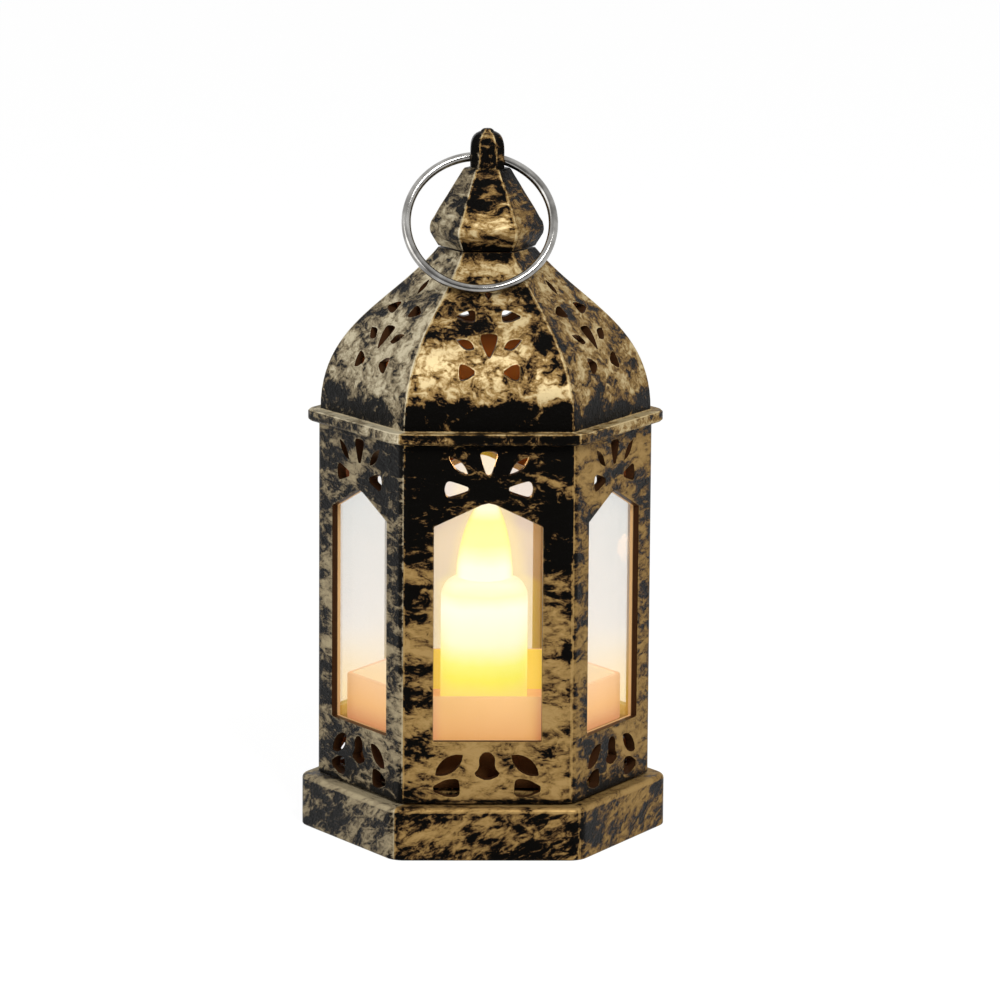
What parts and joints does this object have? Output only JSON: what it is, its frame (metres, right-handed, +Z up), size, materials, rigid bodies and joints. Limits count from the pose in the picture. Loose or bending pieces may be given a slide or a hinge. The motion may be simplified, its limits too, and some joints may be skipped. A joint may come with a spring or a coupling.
{
  "type": "hanging LED candle lantern",
  "caption": "Small hexagonal pierced lantern in worn gold over black, with a domed roof, clear panes, a hanging ring and a battery candle in a milky cup.",
  "frame": {"origin": "centre of the underside, on the surface that the lantern stands on", "axes": "+Z up along the lantern's axis, -Y out of the front window, X across the corners of the hexagon"},
  "size_m": [0.0644, 0.0566, 0.1244],
  "materials": {
    "worn_gold": "black plastic dry-brushed with gold paint, satin",
    "polished_steel": "polished round wire",
    "clear_plastic": "clear pane",
    "milky_plastic": "milky, lets light through",
    "candle_plastic": "milky, lit from inside",
    "flame_plastic": "frosted lens, lit from inside",
    "led_lens": "moulded lens",
    "board_green": "glass-fibre board",
    "black_plastic": "fine grain moulding",
    "screw_steel": "bright zinc",
    "cell_steel": "nickel-plated can",
    "tinned_metal": "tinned",
    "red_lead": "insulated wire",
    "black_lead": "insulated wire"
  },
  "bodies": {
    "lantern": {"base_shell": "worn_gold", "body_frame": "worn_gold", "roof_dome": "worn_gold", "cupola_finial": "worn_gold", "window_pane_1": "clear_plastic", "window_pane_2": "clear_plastic", "window_pane_3": "clear_plastic", "window_pane_4": "clear_plastic", "window_pane_5": "clear_plastic", "window_pane_6": "clear_plastic", "candle_cup": "milky_plastic", "candle_body": "candle_plastic", "flame_tip": "flame_plastic", "flicker_led": "led_lens", "led_leg_1": "tinned_metal", "led_leg_2": "tinned_metal", "led_board": "board_green", "bottom_plate": "black_plastic", "base_screw_1": "screw_steel", "base_screw_2": "screw_steel", "base_screw_3": "screw_steel", "button_cell_1": "cell_steel", "button_cell_2": "cell_steel", "button_cell_3": "cell_steel", "contact_plate": "tinned_metal", "contact_strip": "tinned_metal", "contact_spring": "tinned_metal", "switch_housing": "tinned_metal", "switch_pin_1": "tinned_metal", "switch_pin_2": "tinned_metal", "switch_pin_3": "tinned_metal", "lead_battery_to_led": "red_lead", "lead_battery_to_switch": "black_lead", "lead_switch_to_led": "black_lead"},
    "ring": {"hanging_ring": "polished_steel"},
    "switch_knob": {"switch_slider": "black_plastic"},
    "door": {"battery_door": "black_plastic", "battery_door_screw": "screw_steel"}
  },
  "joints": [
    {"name": "ring_swing", "type": "hinge", "parent": "lantern", "child": "ring", "pos_m": [0, 0, 0.11915], "axis": [-1, 0, 0], "range_deg": [0, 293.5]},
    {"name": "switch_slide", "type": "slide", "parent": "lantern", "child": "switch_knob", "axis": [1, 0, 0], "range_m": [0, 0.002]},
    {"name": "battery_door_lift", "type": "slide", "parent": "lantern", "child": "door", "axis": [0, 0, -1], "range_m": [0, 0.012]}
  ]
}
